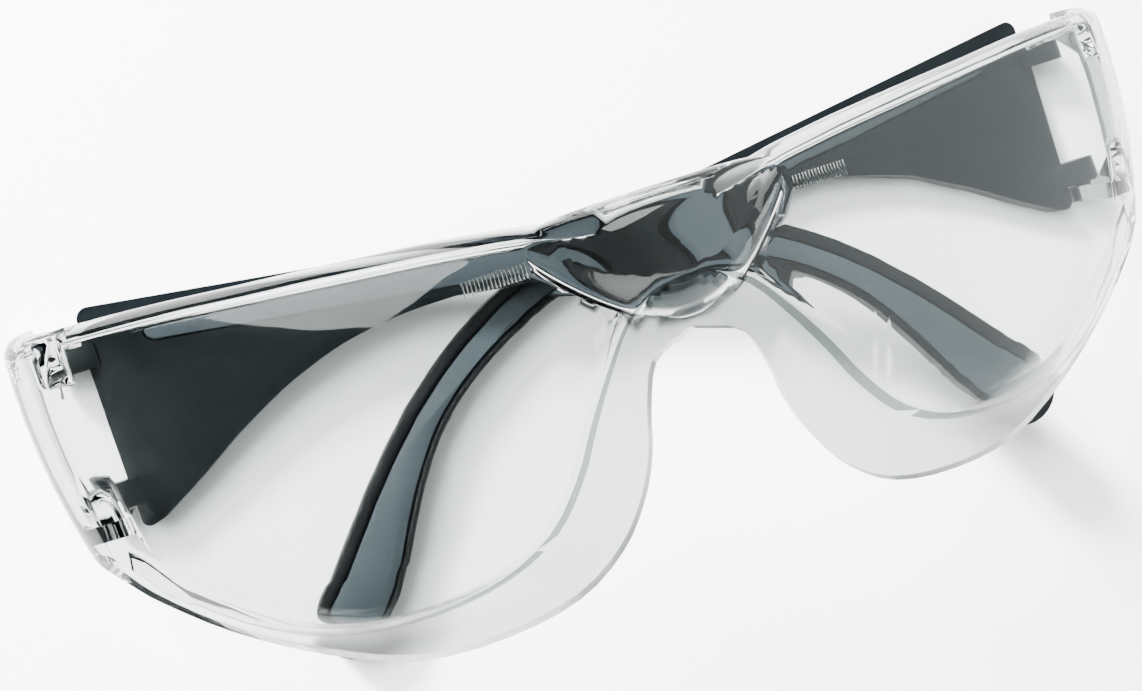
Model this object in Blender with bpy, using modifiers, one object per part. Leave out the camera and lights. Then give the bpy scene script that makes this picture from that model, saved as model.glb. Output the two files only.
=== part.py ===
"""Sports protective goggles: one clear wraparound shield and two folding, length-adjustable temples.

The goggles lie as they are put down on a table: front of the shield up, temples folded behind it.
+X is across the face, +Y is towards the brow and along the hinge axes, +Z is out of the shield's front.
Shapes are worked out in a wearer's frame in millimetres (across, up, back) and placed by world().
"Right" means +X and "left" means -X.
"""
import math

import bmesh
import bpy
from mathutils import Vector

MM = 0.001
GAP = 0.3                      # clearance between touching pieces

# The shield, in the wearer's frame
HINGE_X = 74.9                 # hinge axis, across
HINGE_BACK = 34.7              # hinge axis, behind the bridge
REST_BACK = 37.26              # what the folded goggles stand on: the lugs and the temples
MID_UP = -13.33                # height of the middle of the whole outline, above the hinge middle
SHIELD_WALL = 2.2
BRIDGE_TURN = 6.3              # degrees the front turns back beside the bridge
BRIDGE_REACH = 6.0
FRONT_TURN = 0.246             # degrees of turn for each millimetre of the front
CORNER_START = 76.7            # run along the shield where it starts to wrap round the temple
CORNER_END = 93.0
SIDE_TURN = 90.0               # degrees, the side shield is straight back
UPRIGHT_RADIUS = 95.7          # the shield is also curved from top to bottom
CROWN_FRONT = -8.5             # height where the front stands furthest out
CROWN_SIDE = 5.0               # the same on the side shield
CROWN_RISE = (35, 88)          # runs between which the crown changes from one to the other
LEDGE = 0.9                    # step back from the window to the cheek flange
FLANGE_SLOPE = 0.24            # the flange leans back towards the face
BROW_LIP = 3.5                 # depth of the lip turned back along the brow
BROW_BEND = 2.6                # outer radius of the bend into the lip

# Outlines of the right half, (run along the shield, up), matched point by point
FLANGE_EDGE = ((0, -11.2), (2.1, -11.9), (6.1, -13.6), (8.4, -18.9), (9.9, -24.2), (12.6, -29.6),
               (17.1, -35), (24.4, -39.5), (35, -41.6), (47.5, -41.3), (59, -36.8), (69.2, -30.5),
               (76.2, -24.4), (81.2, -19.6), (86.4, -16.8), (93.6, -14.2))
WINDOW_EDGE = ((0, -4.6), (4.1, -5.1), (8.2, -7.6), (12.2, -12.5), (16.2, -18.3), (19.7, -23.8),
               (24.9, -29.3), (32.3, -32.9), (42.3, -34.6), (53.3, -34.4), (63.3, -31.7),
               (71.1, -27.2), (76.8, -21.9), (81.7, -17.6), (86.5, -14.9), (92.2, -12))
BROW_EDGE = ((0, 4.9), (5, 4.8), (9.5, 5.4), (14, 6.3), (18.5, 7.2), (23.5, 7.9), (29, 8.6),
             (36, 9.3), (44, 10.1), (53, 10.9), (62, 11.8), (71, 12.5), (78, 12.9), (84, 13.5),
             (89, 14.1), (93.2, 14.5))
STEPS_BETWEEN = 3              # stations from one outline point to the next
FLANGE_FADE = (0.55, 0.85)     # the flange's ledge fades out over this part of the outline

# Hinge lugs, pins and fork ears
PIN_RADIUS = 1.1
PIN_BORE = PIN_RADIUS + GAP
LUG_RADIUS = 2.5
EAR_RADIUS = 2.3
UPPER_EAR = (7.2, 10.3)         # lower and upper face of the upper fork ear
LOWER_EAR = (-11.7, -8.1)
UPPER_LUG = (10.6, 12.7)
LOWER_LUG = (-14.3, -12.0)
LUG_RUNS = (75, 78, 81, 84, 87, 91)
GUSSET_RUNS = (75.5, 79.5)
GUSSET_DEPTH = 5.5             # how far a lug's gusset runs along the shield's wall

# Temples, in their own frame: run from the hinge axis, up, and out from the head
FOLD_OVER = {"right": 0.8, "left": 4.6}   # degrees past square, so the temples stack
PLATE_INNER = -0.4
PLATE_OUTER = 2.6
PLATE_FRONT = 2.9
PLATE_TOP = 15.4
PLATE_BOTTOM = -15.0
DROP = 0.136                   # the temple falls this much for each millimetre of its run
SLEEVE_END = 68.0
SLEEVE_HEIGHT = 7.2
TRAILING_EDGE = ((5.6, -14.6), (12.5, -10.7), (18.5, -7.0), (25.5, -3.4), (32, -0.9), (38, 0.6),
                 (45, 1.4), (52, 1.4))
BAR_FRONT = 11.0
BAR_DEPTH_BELOW_TOP = 4.4
BAR_HEIGHT = 3.0
BAR_FOOT_HEIGHT = 4.4
BAR_FOOT = (0.95, 1.6)         # inner and outer face of the bar's wider foot
BAR_FOOT_END = 66.5            # the foot stops just inside the sleeve
PANEL_SINK = 0.25              # the grey panel lies below the rim
CORE_OUTER = 1.5
PIN_BITE = 1.0                 # how far a pin goes into its fork ear
WEB = 0.6                      # how far the fork ears' web stands inside the plate
CUT_OVER = 1.0                 # cutters run this far past the faces they cut

# Ear piece: (run, up, half width) along its middle, from the sleeve to the tip
EAR_PATH = ((67.9, 3.0, 3.55), (78, 1.6, 3.3), (87, -0.9, 3.1), (95, -4.6, 3.0), (101.5, -8.6, 2.95),
            (107, -13.2, 3.05), (111.6, -18.2, 3.45), (115.6, -23.4, 4.0), (119.2, -28.6, 4.6),
            (122.4, -33.2, 5.1), (125.2, -36.8, 5.3))
RIM_OUTER = 2.0                # width of the black rim along the top of the ear piece
RIM_INNER = 1.25

COLLECTION = "sports_protective_goggles"
SIDES = {"right": 1, "left": -1}


# ---------------------------------------------------------------- helpers
def world(across, up, back):
    """A point of the wearer's frame, in millimetres, as a world point in metres."""
    return Vector((across, up - MID_UP, REST_BACK - back)) * MM


def smooth(value, low, high):
    t = min(1.0, max(0.0, (value - low) / (high - low)))
    return t * t * (3 - 2 * t)


def through(points, steps):
    """Points on a smooth curve through the given ones, steps to each gap."""
    points = [Vector(p) for p in points]
    padded = [2 * points[0] - points[1]] + points + [2 * points[-1] - points[-2]]
    out = []
    for i in range(1, len(padded) - 2):
        before, start, end, after = padded[i - 1:i + 3]
        for k in range(steps):
            t = k / steps
            out.append(0.5 * (2 * start + (end - before) * t
                              + (2 * before - 5 * start + 4 * end - after) * t * t
                              + (3 * start - before - 3 * end + after) * t ** 3))
    out.append(points[-1])
    return out


def material(name, colour, roughness, alpha=1.0):
    mat = bpy.data.materials.get(name)
    if mat:
        return mat
    mat = bpy.data.materials.new(name)
    mat.use_nodes = True
    shader = mat.node_tree.nodes["Principled BSDF"]
    shader.inputs["Base Color"].default_value = (*colour, 1)
    shader.inputs["Roughness"].default_value = roughness
    shader.inputs["Metallic"].default_value = 0.0
    shader.inputs["Alpha"].default_value = alpha
    return mat


def clear_plastic():
    return material("clear_polycarbonate", (0.80, 0.84, 0.82), 0.05, alpha=0.35)


def charcoal_plastic():
    return material("charcoal_nylon", (0.012, 0.018, 0.022), 0.4)


def grey_plastic():
    return material("grey_nylon", (0.15, 0.18, 0.20), 0.45)


def black_rubber():
    return material("black_soft_rim", (0.008, 0.010, 0.011), 0.55)


def collection(name):
    found = bpy.data.collections.get(name)
    if not found:
        found = bpy.data.collections.new(name)
        bpy.context.scene.collection.children.link(found)
    return found


def add_object(name, bm, mat, cutter=False):
    """Turn a bmesh in metres into an object of the part, or into a hidden cutter."""
    bmesh.ops.remove_doubles(bm, verts=bm.verts, dist=1e-7)
    bmesh.ops.recalc_face_normals(bm, faces=bm.faces)
    mesh = bpy.data.meshes.new(name)
    bm.to_mesh(mesh)
    bm.free()
    mesh.materials.append(mat)
    mesh.shade_smooth()
    mesh.set_sharp_from_angle(angle=math.radians(35))
    obj = bpy.data.objects.new(name, mesh)
    collection("cutters" if cutter else COLLECTION).objects.link(obj)
    if cutter:
        obj.hide_render = True
        obj.display_type = "WIRE"
    return obj


def boolean(obj, tool, operation):
    mod = obj.modifiers.new(tool.name, "BOOLEAN")
    mod.operation = operation
    mod.solver = "EXACT"
    mod.object = tool
    return mod


def hull(points):
    bm = bmesh.new()
    for point in points:
        bm.verts.new(point)
    result = bmesh.ops.convex_hull(bm, input=bm.verts)
    inside = [v for v in result["geom_interior"] if isinstance(v, bmesh.types.BMVert)]
    bmesh.ops.delete(bm, geom=inside, context="VERTS")
    return bm


def prism(outline, near, far, place):
    """A flat outline, given once round, made solid between two depths."""
    bm = bmesh.new()
    face = bm.faces.new([bm.verts.new(place(u, v, near)) for u, v in outline])
    grown = bmesh.ops.extrude_face_region(bm, geom=[face])
    shift = place(0, 0, far) - place(0, 0, near)
    moved = [v for v in grown["geom"] if isinstance(v, bmesh.types.BMVert)]
    bmesh.ops.translate(bm, verts=moved, vec=shift)
    return bm


def circle(centre_u, centre_v, radius, count=24, start=0.0, sweep=2 * math.pi):
    angles = [start + sweep * i / count for i in range(count + (sweep < 6.28))]
    return [(centre_u + radius * math.cos(a), centre_v + radius * math.sin(a)) for a in angles]


# ---------------------------------------------------------------- the shield
def shield_turn(run):
    """How far the shield's plan has turned back, in radians, at this run from the bridge."""
    front = BRIDGE_TURN * (1 - math.exp(-(run / BRIDGE_REACH) ** 2)) + FRONT_TURN * run
    return math.radians(front + (SIDE_TURN - front) * smooth(run, CORNER_START, CORNER_END))


def shield_plan(run, step=0.25):
    """Across, back and turn of the shield's outer face at this run."""
    across = back = 0.0
    count = max(1, round(run / step))
    for i in range(count):
        turn = shield_turn((i + 0.5) * run / count)
        across += math.cos(turn) * run / count
        back += math.sin(turn) * run / count
    return across, back, shield_turn(run)


def shield_sag(run, up):
    """How far the shield's upright curve has turned in at this height."""
    crown = CROWN_FRONT + (CROWN_SIDE - CROWN_FRONT) * smooth(run, *CROWN_RISE)
    return (up - crown) ** 2 / (2 * UPRIGHT_RADIUS)


def shield_point(run, up, inward):
    """A point of the shield, this far in from the outer surface's most forward line."""
    across, back, turn = shield_plan(run)
    depth = inward + shield_sag(run, up)
    return world(across - math.sin(turn) * depth, up, back + math.cos(turn) * depth)


def shield_rib(flange, window, brow, fade):
    """One line of points up the shield, from the flange's edge to the back of the brow lip."""
    rows = []
    width = (window - flange).length
    for share in (0.0, 0.12, 0.5, 0.9):
        place = flange.lerp(window, share)
        rows.append((place, fade * (LEDGE + FLANGE_SLOPE * width * (1 - share))))
    top = brow - Vector((0, BROW_BEND))
    for share in (0.0, 0.16, 0.34, 0.52, 0.7, 0.86, 1.0):
        rows.append((window.lerp(top, share), 0.0))
    for degrees in (22.5, 45, 67.5, 90):
        bend = math.radians(degrees)
        rows.append((top + Vector((0, BROW_BEND * math.sin(bend))), BROW_BEND * (1 - math.cos(bend))))
    rows.append((brow, BROW_LIP))
    return rows


def make_shield():
    flange, window, brow = (through(edge, STEPS_BETWEEN) for edge in (FLANGE_EDGE, WINDOW_EDGE, BROW_EDGE))
    last = len(flange) - 1
    bm = bmesh.new()
    ribs = []
    for i in range(last + 1):
        fade = 1 - smooth(i / last, *FLANGE_FADE)
        rows = shield_rib(flange[i], window[i], brow[i], fade)
        ribs.append([shield_point(place.x, place.y, inward) for place, inward in rows])
    ribs = [[bm.verts.new(point) for point in rib] for rib in ribs]
    for near, far in zip(ribs[:-1], ribs[1:]):
        for k in range(len(near) - 1):
            bm.faces.new((near[k], far[k], far[k + 1], near[k + 1]))
    shield = add_object("lens_shield", bm, clear_plastic())
    mirror = shield.modifiers.new("other_half", "MIRROR")
    mirror.merge_threshold = 0.00002
    wall = shield.modifiers.new("wall", "SOLIDIFY")
    wall.thickness = SHIELD_WALL * MM
    wall.offset = -1
    for level, faces, foot in (("upper", UPPER_LUG, UPPER_LUG[0] - GUSSET_DEPTH),
                               ("lower", LOWER_LUG, LOWER_LUG[1] + GUSSET_DEPTH)):
        bore = pin_solid(1, faces[0] - CUT_OVER, faces[1] + CUT_OVER, PIN_BORE)
        bore = add_object(f"lug_bore_{level}", bore, clear_plastic(), cutter=True)
        for tool, operation in ((lug_shelf(f"lug_{level}", faces), "UNION"),
                                (lug_gusset(f"lug_gusset_{level}", faces, foot), "UNION"),
                                (bore, "DIFFERENCE")):
            tool.modifiers.new("other_side", "MIRROR").use_mirror_merge = False
            boolean(shield, tool, operation)


def wall_middle(run, up):
    """Across and back of the middle of the shield's wall at this height."""
    across, back, turn = shield_plan(run)
    depth = SHIELD_WALL / 2 + shield_sag(run, up)
    return across - math.sin(turn) * depth, back + math.cos(turn) * depth


def lug_shelf(name, faces):
    """A flat boss round the hinge axis that reaches the inside of the shield's corner."""
    middle = sum(faces) / 2
    plan = circle(HINGE_X, HINGE_BACK, LUG_RADIUS) + [wall_middle(run, middle) for run in LUG_RUNS]
    return add_object(name, hull([world(x, up, y) for x, y in plan for up in faces]),
                      clear_plastic(), cutter=True)


def lug_gusset(name, faces, foot):
    """A wedge that props the shelf from the shield's front wall, clear of the fork ear's swing."""
    middle = sum(faces) / 2
    front = HINGE_BACK - LUG_RADIUS - GAP
    points = [world(x, middle, front) for x in (HINGE_X - PIN_RADIUS, HINGE_X + PIN_RADIUS)]
    for run in GUSSET_RUNS:
        for up in (middle, foot):
            x, y = wall_middle(run, up)
            points.append(world(x, up, y))
    return add_object(name, hull(points), clear_plastic(), cutter=True)


def pin_solid(side, low, high, radius):
    outline = circle(side * HINGE_X, HINGE_BACK, radius)
    return prism(outline, low, high, lambda across, back, up: world(across, up, back))


def make_pins(name, side):
    """Two short pins hold each temple's fork between the shield's lugs."""
    spans = {"upper": (UPPER_EAR[1] - PIN_BITE, UPPER_LUG[1]), "lower": (LOWER_LUG[0], LOWER_EAR[0] + PIN_BITE)}
    for level, (low, high) in spans.items():
        add_object(f"hinge_pin_{level}_{name}", pin_solid(side, low, high, PIN_RADIUS), charcoal_plastic())


# ---------------------------------------------------------------- temples
def temple_top(run):
    return PLATE_TOP - DROP * (run - PLATE_FRONT)


def temple_place(side):
    return lambda run, up, out: Vector((-side * run, up, -out)) * MM


def stand_on_hinge(obj, name, side):
    """Put a temple piece, modelled about the hinge axis, at its folded place."""
    obj.location = world(side * HINGE_X, 0, HINGE_BACK)
    obj.rotation_euler = (0, side * math.radians(FOLD_OVER[name]), 0)
    return obj


def plate_outline():
    corner = 1.6
    top_front = circle(PLATE_FRONT + corner, PLATE_TOP - corner, corner, 5, math.pi, -math.pi / 2)
    sleeve_top = [(SLEEVE_END, temple_top(SLEEVE_END)),
                  (SLEEVE_END - DROP * SLEEVE_HEIGHT, temple_top(SLEEVE_END) - SLEEVE_HEIGHT)]
    trailing = [(p.x, p.y) for p in through(TRAILING_EDGE, 3)][::-1]
    low_front = circle(PLATE_FRONT + 1.2, PLATE_BOTTOM + 1.2, 1.2, 4, 1.5 * math.pi, -math.pi / 2)
    return top_front + sleeve_top + trailing + low_front


def bar_outline(height, grow=0.0, end=SLEEVE_END + 1):
    """The sliding bar's outline, with a round front end, parallel to the temple's top edge."""
    half = height / 2 + grow
    slope = math.atan(DROP)
    middle = temple_top(BAR_FRONT) - BAR_DEPTH_BELOW_TOP
    front_u = BAR_FRONT + height / 2
    front = circle(front_u, middle - DROP * height / 2, half, 10, math.pi / 2 - slope, math.pi)
    end_middle = middle - DROP * (end - BAR_FRONT)
    up = half / math.cos(slope)
    return front + [(end, end_middle - up), (end, end_middle + up)]


def channel_cutter(name, side):
    """A T-shaped slot along the plate's inner face, open at the sleeve's end."""
    place = temple_place(side)
    mouth = prism(bar_outline(BAR_HEIGHT, GAP, SLEEVE_END + 5), PLATE_INNER - CUT_OVER, BAR_FOOT[0], place)
    mouth = add_object(f"channel_mouth_{name}", mouth, charcoal_plastic(), cutter=True)
    foot = prism(bar_outline(BAR_FOOT_HEIGHT, GAP, SLEEVE_END + 5), BAR_FOOT[0] - GAP,
                 BAR_FOOT[1] + GAP, place)
    foot = add_object(f"channel_foot_{name}", foot, charcoal_plastic(), cutter=True)
    return mouth, foot


def ear_solid(side, faces):
    """A fork ear: a bar from the plate's front edge to a round end about the hinge axis."""
    place = temple_place(side)
    low, high = faces
    points = []
    for u, w in circle(0, 0, EAR_RADIUS, 20):
        points += [place(u, low, w), place(u, high, w)]
    for w in (PLATE_INNER - WEB, PLATE_OUTER):
        points += [place(PLATE_FRONT + 1.6, low, w), place(PLATE_FRONT + 1.6, high, w)]
    return hull(points)


def gusset_solid(side):
    """The triangular rib inside the plate that backs the lower ear."""
    place = temple_place(side)
    low, high = LOWER_EAR
    points = []
    for out in (PLATE_INNER + WEB, PLATE_INNER - WEB):
        points += [place(PLATE_FRONT + 0.8, high, out), place(PLATE_FRONT + 0.8, low, out)]
        points += [place(PLATE_FRONT + 6.5, high - 0.4, PLATE_INNER + 0.3), place(5.4, low - 2.6, out)]
    return hull(points)


def make_plate(name, side):
    place = temple_place(side)
    plate = add_object(f"temple_plate_{name}", prism(plate_outline(), PLATE_INNER, PLATE_OUTER, place),
                       charcoal_plastic())
    for level, faces in (("upper", UPPER_EAR), ("lower", LOWER_EAR)):
        ear = add_object(f"ear_{level}_{name}", ear_solid(side, faces), charcoal_plastic(), cutter=True)
        boolean(plate, stand_on_hinge(ear, name, side), "UNION")
    gusset = add_object(f"gusset_{name}", gusset_solid(side), charcoal_plastic(), cutter=True)
    boolean(plate, stand_on_hinge(gusset, name, side), "UNION")
    for tool in channel_cutter(name, side):
        boolean(plate, stand_on_hinge(tool, name, side), "DIFFERENCE")
    reach = PIN_BITE + GAP
    for level, (low, high) in (("upper", (UPPER_EAR[1] - reach, UPPER_EAR[1] + CUT_OVER)),
                               ("lower", (LOWER_EAR[0] - CUT_OVER, LOWER_EAR[0] + reach))):
        bore = prism(circle(0, 0, PIN_BORE), low, high, lambda u, w, up: place(u, up, w))
        bore = add_object(f"ear_bore_{level}_{name}", bore, charcoal_plastic(), cutter=True)
        boolean(plate, stand_on_hinge(bore, name, side), "DIFFERENCE")
    stand_on_hinge(plate, name, side)


def ear_outline(inset_top, inset_low):
    """The ear piece's outline, set in from its top edge and its lower edge."""
    stations = through(EAR_PATH, 3)
    upper, lower = [], []
    for i, here in enumerate(stations):
        along = stations[min(i + 1, len(stations) - 1)] - stations[max(i - 1, 0)]
        normal = Vector((-along.y, along.x)).normalized()
        middle = Vector((here.x, here.y))
        upper.append(middle + normal * (here.z - inset_top))
        lower.append(middle - normal * (here.z - inset_low))
    start, end = upper[-1], lower[-1]
    centre = (start + end) / 2
    radius = (start - end).length / 2
    first = math.atan2(start.y - centre.y, start.x - centre.x)
    tip = circle(centre.x, centre.y, radius, 12, first, -math.pi)
    return [(p.x, p.y) for p in upper[:-1]] + tip + [(p.x, p.y) for p in lower[-2::-1]]


def make_ear_rim(name, side):
    """The soft black rim and back of the ear piece, moulded round the grey core."""
    place = temple_place(side)
    outline = ear_outline(0, 0)
    rim = add_object(f"ear_rim_{name}", prism(outline, PLATE_INNER, PLATE_OUTER, place), black_rubber())
    pocket = prism(panel_outline(GAP), PLATE_INNER - CUT_OVER, CORE_OUTER + GAP, place)
    pocket = add_object(f"panel_pocket_{name}", pocket, black_rubber(), cutter=True)
    boolean(rim, stand_on_hinge(pocket, name, side), "DIFFERENCE")
    stand_on_hinge(rim, name, side)


def panel_outline(grow):
    """The grey panel of the ear piece, run on to the front so that it meets the bar."""
    inner = ear_outline(RIM_OUTER - grow, RIM_INNER - grow)
    shift = SLEEVE_END - 1.0 - grow - inner[0][0]
    return [(inner[0][0] + shift, inner[0][1] + DROP)] + inner + [(inner[-1][0] + shift, inner[-1][1] + DROP)]


def make_slide_arm(name, side):
    """The grey core: a T-section bar that slides in the plate, and the panel of the ear piece."""
    place = temple_place(side)
    outer = SLEEVE_END + 3
    bar = prism(bar_outline(BAR_HEIGHT, 0, outer), PLATE_INNER + PANEL_SINK, BAR_FOOT[1], place)
    arm = add_object(f"slide_arm_{name}", bar, grey_plastic())
    foot = prism(bar_outline(BAR_FOOT_HEIGHT, 0, BAR_FOOT_END), *BAR_FOOT, place)
    foot = add_object(f"bar_foot_{name}", foot, grey_plastic(), cutter=True)
    boolean(arm, stand_on_hinge(foot, name, side), "UNION")
    panel = prism(ear_outline(RIM_OUTER, RIM_INNER), PLATE_INNER + PANEL_SINK, CORE_OUTER, place)
    panel = add_object(f"panel_{name}", panel, grey_plastic(), cutter=True)
    boolean(arm, stand_on_hinge(panel, name, side), "UNION")
    stand_on_hinge(arm, name, side)


# ---------------------------------------------------------------- the goggles
def main():
    for old in list(bpy.data.objects):
        bpy.data.objects.remove(old)
    make_shield()
    for name, side in SIDES.items():
        make_pins(name, side)
        make_plate(name, side)
        make_slide_arm(name, side)
        make_ear_rim(name, side)


main()
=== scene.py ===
"""Sports protective goggles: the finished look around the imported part.

A clear one-piece shield over two dark folded temples, lying on a pale table under soft light.
Lengths are metres in the part's own frame: +X across the face, +Y to the brow, +Z out of the
shield. The shield's curves, its window's edge and the camera's sensor are in millimetres.
"""

import math

import bpy
from mathutils import Matrix, Vector


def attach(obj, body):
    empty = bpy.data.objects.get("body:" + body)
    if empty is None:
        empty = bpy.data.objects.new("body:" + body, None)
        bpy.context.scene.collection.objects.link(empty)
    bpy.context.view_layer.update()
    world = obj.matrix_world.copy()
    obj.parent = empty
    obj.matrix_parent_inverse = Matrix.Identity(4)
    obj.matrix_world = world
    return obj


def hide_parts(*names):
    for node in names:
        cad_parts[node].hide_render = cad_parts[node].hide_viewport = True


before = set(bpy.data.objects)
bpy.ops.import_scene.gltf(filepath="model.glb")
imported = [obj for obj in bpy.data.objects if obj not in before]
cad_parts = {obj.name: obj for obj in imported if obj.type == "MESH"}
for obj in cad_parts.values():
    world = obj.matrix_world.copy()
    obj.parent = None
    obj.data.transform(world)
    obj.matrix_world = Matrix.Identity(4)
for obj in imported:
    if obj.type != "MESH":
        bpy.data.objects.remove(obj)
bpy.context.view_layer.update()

MM = 0.001
SIDES = {"right": 1, "left": -1}

# Camera
IMAGE_WIDTH = 1142
LENS_IN_WIDTHS = 1246.0 / IMAGE_WIDTH
CAMERA_PLACE = (-0.04110, 0.01387, 0.17865)
CAMERA_RIGHT = (0.93201, -0.31012, 0.18756)
CAMERA_UP = (0.31601, 0.94876, -0.00157)
SENSOR = 36.0
NEAREST_SEEN = 0.01

# Light: each lamp's place, aim, size and power. The first two show in no reflection.
KEY = ((-0.38, 0.42, 0.62), (0, 0, 0), (0.42, 0.42), 30.0)
LOW = ((-0.34, 0.68, 0.36), (0, 0, 0), (0.16, 0.16), 95.0)
STRIP = ((0.05, 0.62, 0.40), (0, 0, 0.02), (0.7, 0.03), 0.8)

# The room is dark to the left and overhead, and pale to the right
SKY_TURN = (0.05, 0.75)
SKY_SHADES = (0.05, 1.5)
SKY_COLOUR = (0.94, 1.0, 1.02)

# Table
TABLE_SIZE = 4
TABLE_SHADES = ((0.90, 0.905, 0.90), (0.92, 0.92, 0.915))
TABLE_PATCH_SCALE, TABLE_PATCH_DETAIL = 6.0, 2.0
TABLE_PATCH_RANGE = (0.3, 0.7)
TABLE_ROUGHNESS = 0.9

# Moulded nylon: a fine grain, a slow cloudiness and scattered scuffs
GRAIN_DETAIL = 3.0
GRAIN_RELIEF = 0.05
CLOUD_SCALE = 70.0
CLOUD_RANGE, CLOUD_STRENGTH = (0.3, 0.7), (0.0, 0.28)
SCUFF_SCALE, SCUFF_DETAIL, SCUFF_BREAKUP = 420.0, 6.0, 0.7
SCUFF_RANGE, SCUFF_STRENGTH = (0.60, 0.78), (0.0, 0.45)
POLISH_RANGE, POLISH = (0.3, 0.8), (-0.05, 0.12)
NYLON_GLOSS = 0.3

# Clear polycarbonate: wiping smears and a slight waviness
PLASTIC_IOR = 1.5
SMEAR_STRETCH = (1.0, 0.25, 0.6)
SMEAR_SCALE, SMEAR_DETAIL, SMEAR_BREAKUP = 90.0, 5.0, 0.6
SMEAR_RANGE = (0.52, 0.75)
SMEAR_SHADE = 0.985
WAVE_SCALE, WAVE_DETAIL = 45.0, 1.0
WAVE_DEPTH, WAVE_RELIEF = 0.00002, 0.2

# The shield's finishes, in the order of its material slots: tint, tint of the light let through,
# and roughness where clean and where smeared
CLEAR_LOOKS = {
    "clear_polycarbonate": ((0.50, 0.525, 0.515), (0.90, 0.905, 0.90), 0.02, 0.05),
    "hazy_polycarbonate": ((0.40, 0.425, 0.41), (0.86, 0.87, 0.86), 0.20, 0.30),
    # painted shade: a near-black tint on the faces along the fold, standing in for the dark line
    # that refraction draws at its edges
    "fold_painted_shade": ((0.03, 0.04, 0.04), (0.80, 0.81, 0.80), 0.12, 0.15),
}

# The other finishes: colour, colour of marks, roughness, and the grain's scale and depth
NYLON_LOOKS = {
    "charcoal_nylon": ((0.0010, 0.0018, 0.0023), (0.003, 0.0046, 0.0056), 0.42, 3500, 0.00006),
    "grey_nylon": ((0.020, 0.026, 0.030), (0.034, 0.043, 0.048), 0.45, 3500, 0.00005),
    "black_soft_rim": ((0.0010, 0.0013, 0.0015), (0.003, 0.004, 0.0045), 0.5, 5200, 0.00004),
    "pin_nylon": ((0.004, 0.006, 0.007), (0.012, 0.015, 0.017), 0.3, 3500, 0.00002),
}

# Edge rounding of the mouldings
MERGE = 0.000001
FLAT_ANGLE = math.radians(0.6)
SHARP_ANGLE = math.radians(32)
SMOOTH_ANGLE = math.radians(34)

# The pieces of a temple: body, finish, and the width and steps of the edge rounding
TEMPLE_PIECES = {
    "temple_plate": ("temple", "charcoal_nylon", 0.00035, 3),
    "slide_arm": ("arm", "grey_nylon", 0.00018, 2),
    "ear_rim": ("arm", "black_soft_rim", 0.00045, 3),
}
PIN_EDGE, PIN_STEPS = 0.00015, 2

# The shield's plan and upright curves, millimetres and degrees
BRIDGE_TURN, BRIDGE_REACH, FRONT_TURN = 6.3, 6.0, 0.246
CORNER = (76.7, 93.0)
SIDE_TURN = 90
UPRIGHT_RADIUS = 95.7
CROWN = (-8.5, 5.0)
CROWN_RISE = (35.0, 88.0)
MIDDLE_UP = -13.33
STEPS_PER_MM = 4

# The window's lower edge on the right half, millimetres: run round the shield from the bridge,
# and height
WINDOW_EDGE = ((0, -4.6), (4.1, -5.1), (8.2, -7.6), (12.2, -12.5), (16.2, -18.3), (19.7, -23.8),
               (24.9, -29.3), (32.3, -32.9), (42.3, -34.6), (53.3, -34.4), (63.3, -31.7),
               (71.1, -27.2), (76.8, -21.9), (81.7, -17.6))
STEPS_BETWEEN = 3
ABOVE_BROW = 0.05

# The material slots of the shield's faces, and where each finish ends
WINDOW_FACE, FLANGE_FACE, FOLD_PAINTED_SHADE_FACE = range(3)
SHIELD_WALL = 0.0022
ON_LINE = 0.0002
# The band of painted shade along the fold: how near the fold its faces lie, and how far across it
# runs
FOLD_SHADE_WIDTH = 0.0007
FOLD_SHADE_END = 0.056
FLANGE_END = 0.066
TOP_OF_FLANGE = 0.0095
ABOVE_SHIELD = 0.1

# The thick saddle moulded behind the bridge: it widens upwards, and its ends lift
SADDLE_SIZE = (0.0170, 0.0082, 0.0026)
SADDLE_STEPS = (64, 32)
SADDLE_UP = 0.0118
SADDLE_DEPTH = 0.0023
SADDLE_WIDENING = 0.25
SADDLE_LIFT = 0.004
SADDLE_FOLLOW = 0.9

# The comb of fine ribs moulded on the shield on each side of the bridge
RIB_COUNT = 17
RIB_PITCH = 0.00047
RIB_SIZE = (0.00020, 0.0019, 0.00028)
RIB_MIDDLE = (0.0212, 0.0150)
RIB_ROUNDING, RIB_STEPS = 0.35, 2
RIB_PROUD = 0.2


# ---------------------------------------------------------------- shared effects
def group(name, inputs, outputs):
    """A new shader node group with its named sockets, and its input and output nodes."""
    tree = bpy.data.node_groups.new(name, "ShaderNodeTree")
    for label, kind, value in inputs:
        socket = tree.interface.new_socket(label, in_out="INPUT", socket_type=kind)
        socket.default_value = value
    for label, kind in outputs:
        tree.interface.new_socket(label, in_out="OUTPUT", socket_type=kind)
    return tree, tree.nodes.new("NodeGroupInput"), tree.nodes.new("NodeGroupOutput")


def noise(tree, vector, scale, detail, breakup=0.5):
    """Noise over a surface. Its scale is a number or another node's value."""
    node = tree.nodes.new("ShaderNodeTexNoise")
    node.inputs["Detail"].default_value = detail
    node.inputs["Roughness"].default_value = breakup
    if isinstance(scale, float):
        node.inputs["Scale"].default_value = scale
    else:
        tree.links.new(scale, node.inputs["Scale"])
    tree.links.new(vector, node.inputs["Vector"])
    return node.outputs["Fac"]


def spread(tree, value, given, wanted):
    """A value's given range stretched to the wanted one, and held at its ends."""
    node = tree.nodes.new("ShaderNodeMapRange")
    node.inputs["From Min"].default_value, node.inputs["From Max"].default_value = given
    node.inputs["To Min"].default_value, node.inputs["To Max"].default_value = wanted
    tree.links.new(value, node.inputs["Value"])
    return node.outputs["Result"]


def arithmetic(tree, operation, first, second):
    """Two values combined by one operation."""
    node = tree.nodes.new("ShaderNodeMath")
    node.operation = operation
    tree.links.new(first, node.inputs[0])
    tree.links.new(second, node.inputs[1])
    return node.outputs["Value"]


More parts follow.
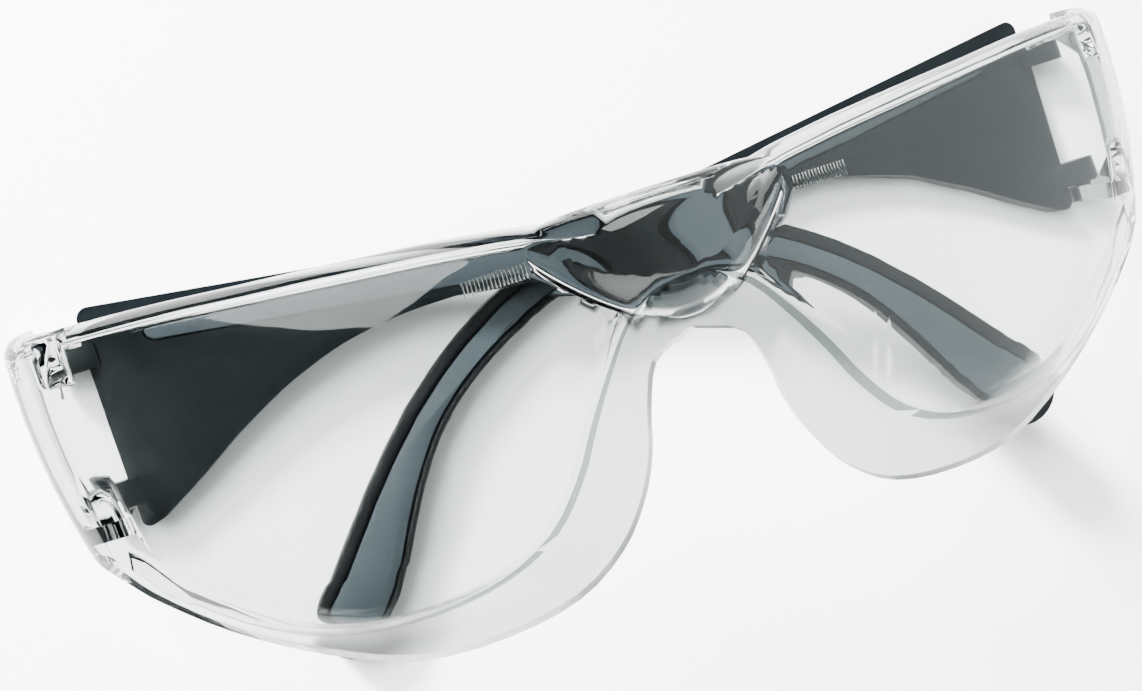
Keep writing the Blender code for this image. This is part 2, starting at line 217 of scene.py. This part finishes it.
def mixed(tree, factor, first, second):
    """Two colours mixed by a value. Each is a plain colour or another node's."""
    node = tree.nodes.new("ShaderNodeMix")
    node.data_type = "RGBA"
    tree.links.new(factor, node.inputs["Factor"])
    for label, colour in (("A", first), ("B", second)):
        if isinstance(colour, tuple):
            node.inputs[label].default_value = (*colour, 1)
        else:
            tree.links.new(colour, node.inputs[label])
    return node.outputs["Result"]


def moulded_grain():
    """Fine spark-eroded grain of moulded nylon, with slow cloudiness and a few handling marks."""
    tree, given, out = group(
        "moulded_grain",
        [("Colour", "NodeSocketColor", (0.5, 0.5, 0.5, 1)),
         ("Marks", "NodeSocketColor", (0.6, 0.6, 0.6, 1)),
         ("Roughness", "NodeSocketFloat", 0.4),
         ("Grain Scale", "NodeSocketFloat", 3500.0)],
        [("Colour", "NodeSocketColor"),
         ("Roughness", "NodeSocketFloat"),
         ("Height", "NodeSocketFloat")])
    place = tree.nodes.new("ShaderNodeTexCoord").outputs["Object"]
    grain = noise(tree, place, given.outputs["Grain Scale"], GRAIN_DETAIL)
    cloud = noise(tree, place, CLOUD_SCALE, GRAIN_DETAIL)
    scuff = noise(tree, place, SCUFF_SCALE, SCUFF_DETAIL, SCUFF_BREAKUP)
    shade = spread(tree, cloud, CLOUD_RANGE, CLOUD_STRENGTH)
    marks = spread(tree, scuff, SCUFF_RANGE, SCUFF_STRENGTH)
    polish = spread(tree, scuff, POLISH_RANGE, POLISH)
    base = mixed(tree, shade, given.outputs["Colour"], given.outputs["Marks"])
    colour = mixed(tree, marks, base, given.outputs["Marks"])
    roughness = arithmetic(tree, "ADD", given.outputs["Roughness"], polish)
    tree.links.new(colour, out.inputs["Colour"])
    tree.links.new(roughness, out.inputs["Roughness"])
    tree.links.new(grain, out.inputs["Height"])
    return tree


def smudges():
    """Faint wiping smears and a slight waviness on a polished surface."""
    tree, given, out = group(
        "smudges",
        [("Strength", "NodeSocketFloat", 1.0)],
        [("Mask", "NodeSocketFloat"),
         ("Height", "NodeSocketFloat")])
    place = tree.nodes.new("ShaderNodeTexCoord").outputs["Object"]
    stretch = tree.nodes.new("ShaderNodeMapping")
    stretch.inputs["Scale"].default_value = SMEAR_STRETCH
    tree.links.new(place, stretch.inputs["Vector"])
    smear = noise(tree, stretch.outputs["Vector"], SMEAR_SCALE, SMEAR_DETAIL, SMEAR_BREAKUP)
    wave = noise(tree, place, WAVE_SCALE, WAVE_DETAIL)
    seen = spread(tree, smear, SMEAR_RANGE, (0.0, 1.0))
    mask = arithmetic(tree, "MULTIPLY", seen, given.outputs["Strength"])
    tree.links.new(mask, out.inputs["Mask"])
    tree.links.new(wave, out.inputs["Height"])
    return tree


# ---------------------------------------------------------------- finishes
def blank(name):
    """A new material with its node tree and its shader."""
    mat = bpy.data.materials.new(name)
    mat.use_nodes = True
    return mat, mat.node_tree, mat.node_tree.nodes["Principled BSDF"]


def bump(tree, shader, height, depth, strength):
    """A height felt by the shader's normal."""
    node = tree.nodes.new("ShaderNodeBump")
    node.inputs["Distance"].default_value = depth
    node.inputs["Strength"].default_value = strength
    tree.links.new(height, node.inputs["Height"])
    tree.links.new(node.outputs["Normal"], shader.inputs["Normal"])


def moulded(name, grain, colour, marks, roughness, scale, depth):
    """Moulded nylon or rubber, its grain given by scale and depth."""
    mat, tree, shader = blank(name)
    effect = tree.nodes.new("ShaderNodeGroup")
    effect.node_tree = grain
    effect.inputs["Colour"].default_value = (*colour, 1)
    effect.inputs["Marks"].default_value = (*marks, 1)
    effect.inputs["Roughness"].default_value = roughness
    effect.inputs["Grain Scale"].default_value = scale
    tree.links.new(effect.outputs["Colour"], shader.inputs["Base Color"])
    tree.links.new(effect.outputs["Roughness"], shader.inputs["Roughness"])
    shader.inputs["Specular IOR Level"].default_value = NYLON_GLOSS
    bump(tree, shader, effect.outputs["Height"], depth, GRAIN_RELIEF)
    return mat


def clear_moulding(name, smear, tint, shadow_tint, roughness, smear_roughness):
    """Clear polycarbonate that lets the light through to what lies under it."""
    mat, tree, shader = blank(name)
    shader.inputs["Transmission Weight"].default_value = 1.0
    shader.inputs["IOR"].default_value = PLASTIC_IOR
    effect = tree.nodes.new("ShaderNodeGroup")
    effect.node_tree = smear
    mask = effect.outputs["Mask"]
    colour = mixed(tree, mask, tint, tuple(SMEAR_SHADE * part for part in tint))
    dulled = spread(tree, mask, (0.0, 1.0), (roughness, smear_roughness))
    tree.links.new(colour, shader.inputs["Base Color"])
    tree.links.new(dulled, shader.inputs["Roughness"])
    bump(tree, shader, effect.outputs["Height"], WAVE_DEPTH, WAVE_RELIEF)
    light_through = tree.nodes.new("ShaderNodeBsdfTransparent")
    light_through.inputs["Color"].default_value = (*shadow_tint, 1)
    ray = tree.nodes.new("ShaderNodeLightPath")
    blend = tree.nodes.new("ShaderNodeMixShader")
    tree.links.new(ray.outputs["Is Shadow Ray"], blend.inputs["Fac"])
    tree.links.new(shader.outputs["BSDF"], blend.inputs[1])
    tree.links.new(light_through.outputs["BSDF"], blend.inputs[2])
    tree.links.new(blend.outputs["Shader"], tree.nodes["Material Output"].inputs["Surface"])
    return mat


def table_finish():
    """A matt pale table top, very slightly uneven in shade."""
    mat, tree, shader = blank("pale_table")
    place = tree.nodes.new("ShaderNodeTexCoord").outputs["Object"]
    patch = noise(tree, place, TABLE_PATCH_SCALE, TABLE_PATCH_DETAIL)
    share = spread(tree, patch, TABLE_PATCH_RANGE, (0.0, 1.0))
    tree.links.new(mixed(tree, share, *TABLE_SHADES), shader.inputs["Base Color"])
    shader.inputs["Roughness"].default_value = TABLE_ROUGHNESS
    return mat


def make_finishes():
    """Every finish on the goggles, by name."""
    grain, smear = moulded_grain(), smudges()
    clears = {name: clear_moulding(name, smear, *look) for name, look in CLEAR_LOOKS.items()}
    nylons = {name: moulded(name, grain, *look) for name, look in NYLON_LOOKS.items()}
    return {**clears, **nylons}


# ---------------------------------------------------------------- modelling
def deselect():
    for obj in bpy.context.selected_objects:
        obj.select_set(False)


def pick(obj):
    """One object selected alone and made active."""
    deselect()
    obj.select_set(True)
    bpy.context.view_layer.objects.active = obj


def apply_modifier(obj, modifier):
    pick(obj)
    bpy.ops.object.modifier_apply(modifier=modifier.name)


def copied_from(node, name):
    """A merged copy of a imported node, its flat faces whole again, ready to be finished."""
    piece = bpy.data.objects.new(name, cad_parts[node].data.copy())
    bpy.context.scene.collection.objects.link(piece)
    piece.data.materials.clear()
    pick(piece)
    bpy.ops.object.mode_set(mode="EDIT")
    bpy.ops.mesh.select_all(action="SELECT")
    bpy.ops.mesh.remove_doubles(threshold=MERGE)
    bpy.ops.mesh.normals_make_consistent(inside=False)
    bpy.ops.mesh.dissolve_limited(angle_limit=FLAT_ANGLE)
    bpy.ops.object.mode_set(mode="OBJECT")
    return piece


def smoothed(piece):
    """The piece shaded smooth, its corners left sharp."""
    pick(piece)
    bpy.ops.object.shade_smooth_by_angle(angle=SMOOTH_ANGLE)
    return piece


def rounded(piece, width, steps):
    """Small radii on the moulding's edges."""
    edges = piece.modifiers.new("edges", "BEVEL")
    edges.limit_method = "ANGLE"
    edges.angle_limit = SHARP_ANGLE
    edges.width = width
    edges.segments = steps
    edges.use_clamp_overlap = True
    apply_modifier(piece, edges)
    return smoothed(piece)


def finished(piece, body, finish, slot, *nodes):
    """A piece given its finish and its body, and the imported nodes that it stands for."""
    piece.data.materials.append(finish)
    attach(piece, body)
    if nodes:
        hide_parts(*nodes)


# ---------------------------------------------------------------- the shield's curves
def smooth(value, low, high):
    """How far a value has gone from low to high, from 0 to 1, starting and ending gently."""
    share = min(1.0, max(0.0, (value - low) / (high - low)))
    return share * share * (3 - 2 * share)


def through(points):
    """Points on a smooth curve through the given ones."""
    points = [Vector(point) for point in points]
    padded = [2 * points[0] - points[1]] + points + [2 * points[-1] - points[-2]]
    out = []
    for before, start, end, after in zip(padded, padded[1:], padded[2:], padded[3:]):
        for k in range(STEPS_BETWEEN):
            t = k / STEPS_BETWEEN
            out.append(0.5 * (2 * start + (end - before) * t
                              + (2 * before - 5 * start + 4 * end - after) * t * t
                              + (3 * start - before - 3 * end + after) * t ** 3))
    return out + [points[-1]]


def across_at(run, up):
    """How far from the middle the shield's face stands at this run and height."""
    across = 0.0
    count = max(1, round(run * STEPS_PER_MM))
    for i in range(count):
        here = (i + 0.5) * run / count
        front = BRIDGE_TURN * (1 - math.exp(-(here / BRIDGE_REACH) ** 2)) + FRONT_TURN * here
        turn = math.radians(front + (SIDE_TURN - front) * smooth(here, *CORNER))
        across += math.cos(turn) * run / count
    crown = CROWN[0] + (CROWN[1] - CROWN[0]) * smooth(run, *CROWN_RISE)
    return across - math.sin(turn) * (up - crown) ** 2 / (2 * UPRIGHT_RADIUS)


def fold_line():
    """The window's lower edge seen from the front, as places on the right half."""
    return [Vector((across_at(point.x, point.y), point.y - MIDDLE_UP)) * MM
            for point in through(WINDOW_EDGE)]


def inside(point, outline):
    """Whether a place lies within a closed outline."""
    found = False
    for start, end in zip(outline, outline[1:] + outline[:1]):
        if (start.y > point.y) != (end.y > point.y):
            share = (point.y - start.y) / (end.y - start.y)
            found ^= point.x < start.x + share * (end.x - start.x)
    return found


def distance(point, line):
    """How far a place is from the nearest part of a line."""
    gaps = []
    for start, end in zip(line, line[1:]):
        along = end - start
        share = max(0.0, min(1.0, (point - start).dot(along) / along.length_squared))
        gaps.append((point - start - share * along).length)
    return min(gaps)


def surface_height(shield):
    """A way to ask how high the shield's outer face stands at a place."""
    bpy.context.view_layer.update()
    placed = shield.evaluated_get(bpy.context.evaluated_depsgraph_get())

    def height(across, up):
        return placed.ray_cast(Vector((across, up, ABOVE_SHIELD)), Vector((0, 0, -1)))[1].z
    return height


# ---------------------------------------------------------------- pieces
def add_saddle(shield):
    """The bridge is moulded thicker behind, in a smooth saddle that bends the view through it."""
    deselect()
    segments, rings = SADDLE_STEPS
    bpy.ops.mesh.primitive_uv_sphere_add(segments=segments, ring_count=rings, radius=1,
                                         location=(0, 0, 0))
    saddle = bpy.context.active_object
    bpy.ops.object.mode_set(mode="EDIT")
    bpy.ops.transform.resize(value=SADDLE_SIZE)
    bpy.ops.object.mode_set(mode="OBJECT")
    height = surface_height(shield)
    for vertex in saddle.data.vertices:
        x, y = vertex.co.x, vertex.co.y
        vertex.co.x = x * (1.0 + SADDLE_WIDENING * y / SADDLE_SIZE[1])
        vertex.co.y = y + SADDLE_UP + SADDLE_LIFT * (x / SADDLE_SIZE[0]) ** 2
        vertex.co.z += height(vertex.co.x * SADDLE_FOLLOW, SADDLE_UP) - SADDLE_DEPTH
    union = shield.modifiers.new("saddle", "BOOLEAN")
    union.operation = "UNION"
    union.solver = "EXACT"
    union.object = saddle
    apply_modifier(shield, union)
    bpy.data.objects.remove(saddle)


def front_places(shield, face):
    """A face's corners seen from the front on the right half, an inner face's from outside."""
    out = face.normal * SHIELD_WALL if face.normal.z < 0 else Vector((0, 0, 0))
    corners = [shield.data.vertices[i].co - out for i in face.vertices]
    return [Vector((abs(corner.x), corner.y)) for corner in corners]


def make_shield(finishes):
    """The shield, with the cheek flange in its hazier finish and a band of painted shade along the
    fold that divides them.
    """
    shield = copied_from("lens_shield", "clear_shield")
    add_saddle(shield)
    smoothed(shield)
    # the rest are the flange's hazy finish and the near-black tint of painted shade along the fold
    clear, *hazy_and_painted_shade = (finishes[name] for name in CLEAR_LOOKS)
    finished(shield, "shield", clear, "clear_polycarbonate", "lens_shield")
    for finish in hazy_and_painted_shade:
        shield.data.materials.append(finish)
    line = fold_line()
    window = line + [Vector((line[-1].x, ABOVE_BROW)), Vector((0, ABOVE_BROW))]
    for face in shield.data.polygons:
        places = front_places(shield, face)
        middle = sum(places, Vector((0, 0))) / len(places)
        if middle.y > TOP_OF_FLANGE or any(
                inside(place, window) and distance(place, line) > ON_LINE for place in places):
            face.material_index = WINDOW_FACE
        # faces along the fold get the near-black tint, painted shade for the fold's dark line
        elif distance(middle, line) < FOLD_SHADE_WIDTH and middle.x < FOLD_SHADE_END:
            face.material_index = FOLD_PAINTED_SHADE_FACE
        elif middle.x < FLANGE_END:
            face.material_index = FLANGE_FACE
    return shield


def make_rib_comb(name, side, finish, height_at):
    """One fine rib is modelled and copied along the shield beside the bridge."""
    deselect()
    bpy.ops.mesh.primitive_cube_add(size=1, location=(0, 0, 0))
    pattern = bpy.context.active_object
    bpy.ops.object.mode_set(mode="EDIT")
    bpy.ops.transform.resize(value=RIB_SIZE)
    bpy.ops.mesh.bevel(offset=RIB_SIZE[0] * RIB_ROUNDING, segments=RIB_STEPS, affect="EDGES")
    bpy.ops.object.mode_set(mode="OBJECT")
    ribs = []
    for i in range(RIB_COUNT):
        across = side * (RIB_MIDDLE[0] + (i - RIB_COUNT // 2) * RIB_PITCH)
        height = height_at(across, RIB_MIDDLE[1]) + RIB_SIZE[2] * RIB_PROUD
        rib = bpy.data.objects.new(f"rib_{i}", pattern.data.copy())
        bpy.context.scene.collection.objects.link(rib)
        rib.data.transform(Matrix.Translation((across, RIB_MIDDLE[1], height)))
        ribs.append(rib)
    bpy.data.objects.remove(pattern)
    deselect()
    for rib in ribs:
        rib.select_set(True)
    bpy.context.view_layer.objects.active = ribs[0]
    bpy.ops.object.join()
    comb = bpy.context.active_object
    comb.name = name
    smoothed(comb)
    finished(comb, "shield", finish, "clear_polycarbonate")


def make_temple(name, finishes):
    """One side's plate, sliding arm, soft rim and two hinge pins."""
    for kind, (body, slot, edge, steps) in TEMPLE_PIECES.items():
        node = f"{kind}_{name}"
        piece = rounded(copied_from(node, f"{kind}_finished_{name}"), edge, steps)
        finished(piece, f"{body}_{name}", finishes[slot], slot, node)
    for level in ("upper", "lower"):
        node = f"hinge_pin_{level}_{name}"
        pin = rounded(copied_from(node, f"hinge_pin_finished_{level}_{name}"), PIN_EDGE, PIN_STEPS)
        finished(pin, "shield", finishes["pin_nylon"], "pin_nylon", node)


# ---------------------------------------------------------------- table, light and camera
def make_table():
    deselect()
    bpy.ops.mesh.primitive_plane_add(size=TABLE_SIZE, location=(0, 0, 0))
    table = bpy.context.active_object
    table.name = "table"
    table.data.materials.append(table_finish())


def softbox(name, place, aim, size, power):
    """A rectangular lamp turned towards its aim."""
    light = bpy.data.lights.new(name, "AREA")
    light.shape = "RECTANGLE"
    light.size, light.size_y = size
    light.energy = power
    lamp = bpy.data.objects.new(name, light)
    bpy.context.scene.collection.objects.link(lamp)
    lamp.location = place
    lamp.rotation_euler = (Vector(aim) - Vector(place)).to_track_quat("-Z", "Y").to_euler()
    return lamp


def make_light():
    """The lamps, and a room whose shade turns with the direction looked in."""
    softbox("key", *KEY).visible_glossy = False
    softbox("low", *LOW).visible_glossy = False
    softbox("strip", *STRIP)
    world = bpy.data.worlds.new("studio")
    bpy.context.scene.world = world
    world.use_nodes = True
    tree = world.node_tree
    sky = tree.nodes["Background"]
    direction = tree.nodes.new("ShaderNodeTexCoord").outputs["Generated"]
    parts = tree.nodes.new("ShaderNodeSeparateXYZ")
    tree.links.new(direction, parts.inputs["Vector"])
    shade = spread(tree, parts.outputs["X"], SKY_TURN, SKY_SHADES)
    tree.links.new(shade, sky.inputs["Strength"])
    sky.inputs["Color"].default_value = (*SKY_COLOUR, 1)


def make_camera():
    """The camera, from where it stands and which ways are its right and its up."""
    right, up = Vector(CAMERA_RIGHT), Vector(CAMERA_UP)
    back = right.cross(up)
    turn = Matrix((right, up, back)).transposed().to_4x4()
    data = bpy.data.cameras.new("camera")
    data.sensor_width = SENSOR
    data.lens = LENS_IN_WIDTHS * SENSOR
    data.clip_start = NEAREST_SEEN
    camera = bpy.data.objects.new("camera", data)
    bpy.context.scene.collection.objects.link(camera)
    camera.matrix_world = Matrix.Translation(CAMERA_PLACE) @ turn
    bpy.context.scene.camera = camera


def main():
    finishes = make_finishes()
    height_at = surface_height(make_shield(finishes))
    for name, side in SIDES.items():
        make_rib_comb(f"brow_ribs_{name}", side, finishes["clear_polycarbonate"], height_at)
        make_temple(name, finishes)
    make_table()
    make_light()
    make_camera()


main()
